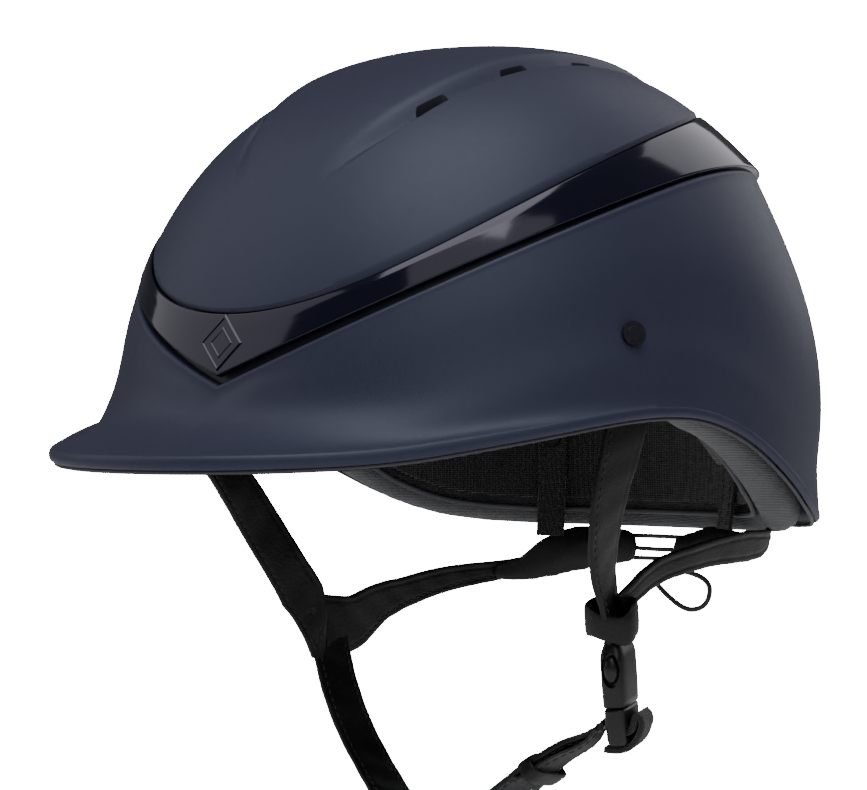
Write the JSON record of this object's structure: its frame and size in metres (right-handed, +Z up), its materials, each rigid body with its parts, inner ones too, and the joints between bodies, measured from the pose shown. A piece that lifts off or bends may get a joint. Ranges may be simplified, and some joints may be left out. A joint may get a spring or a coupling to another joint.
{
  "type": "equestrian riding helmet",
  "caption": "Riding helmet with short peak, raised crown, gloss trim band, padded liner, laced nape harness and chin strap with side-release buckle.",
  "frame": {"origin": "centre of the head opening, on the plane of the brim, in the middle plane of the helmet", "axes": "-Y to the front (the peak), +X to the wearer's left, +Z up through the crown"},
  "size_m": [0.2148, 0.2908, 0.2619],
  "materials": {
    "shell_matt": "matt navy, soft-touch painted moulded shell",
    "band_gloss": "high gloss navy moulding",
    "frame_black": "black moulded frame",
    "eps_foam": null,
    "padding_fabric": "grey ribbed fabric over foam",
    "lining_fabric": "black knitted mesh over foam",
    "edging": "dark satin edging",
    "strap_leather": "black leather-look webbing with stitched edges",
    "strap_webbing": "charcoal woven webbing",
    "buckle_plastic": "black satin moulding",
    "rivet_metal": "black painted rivet head",
    "washer_steel": "plain steel",
    "eyelet_metal": "black enamelled eyelet",
    "lace_cord": "black round braided lace"
  },
  "bodies": {
    "helmet": {"lower_shell": "shell_matt", "crown_shell": "shell_matt", "trim_band": "band_gloss", "badge": "band_gloss", "channel_frame": "frame_black", "eps_liner_lower": "eps_foam", "eps_liner_crown": "eps_foam", "rim_padding": "padding_fabric", "rim_piping": "edging", "rim_binding": "edging", "peak_lining": "lining_fabric", "crown_pad": "lining_fabric", "harness_rivets": "rivet_metal", "rivet_washers": "washer_steel", "front_strap_left": "strap_leather", "front_strap_right": "strap_leather", "rear_strap_left": "strap_leather", "rear_strap_right": "strap_leather", "junction_right": "strap_leather", "loop_tab_left": "strap_leather", "buckle_socket": "buckle_plastic", "nape_pad_left": "strap_leather", "nape_pad_right": "strap_leather", "nape_hangers": "strap_webbing", "hanger_screws": "rivet_metal", "lace_eyelets": "eyelet_metal", "nape_lace": "lace_cord", "lace_loop": "lace_cord"},
    "headband": {"headband": "lining_fabric"},
    "tongue": {"buckle_tongue": "buckle_plastic", "chin_strap": "strap_leather", "chin_webbing": "strap_webbing", "strap_keeper": "strap_leather"},
    "prong_front": {"prong_front": "buckle_plastic"},
    "prong_rear": {"prong_rear": "buckle_plastic"}
  },
  "joints": [
    {"name": "buckle_release", "type": "slide", "parent": "helmet", "child": "tongue", "axis": [0, 0.1045, -0.9945], "range_m": [0, 0.024], "deforming": ["prong_front", "prong_rear"]},
    {"name": "prong_front_squeeze", "type": "hinge", "parent": "tongue", "child": "prong_front", "pos_m": [0.08169, -0.02261, -0.08294], "axis": [-0.9144, -0.4027, -0.0423], "range_deg": [0, 14], "stiffness_Nm_per_rad": 0.05},
    {"name": "prong_rear_squeeze", "type": "hinge", "parent": "tongue", "child": "prong_rear", "pos_m": [0.07691, -0.01188, -0.08181], "axis": [0.9144, 0.4027, 0.0423], "range_deg": [0, 14], "stiffness_Nm_per_rad": 0.05},
    {"name": "headband_removal", "type": "slide", "parent": "helmet", "child": "headband", "axis": [0, 0, -1], "range_m": [0, 0.02]}
  ],
  "couplings": [
    {"joint": "prong_rear_squeeze", "follows": "prong_front_squeeze", "ratio": 1}
  ]
}
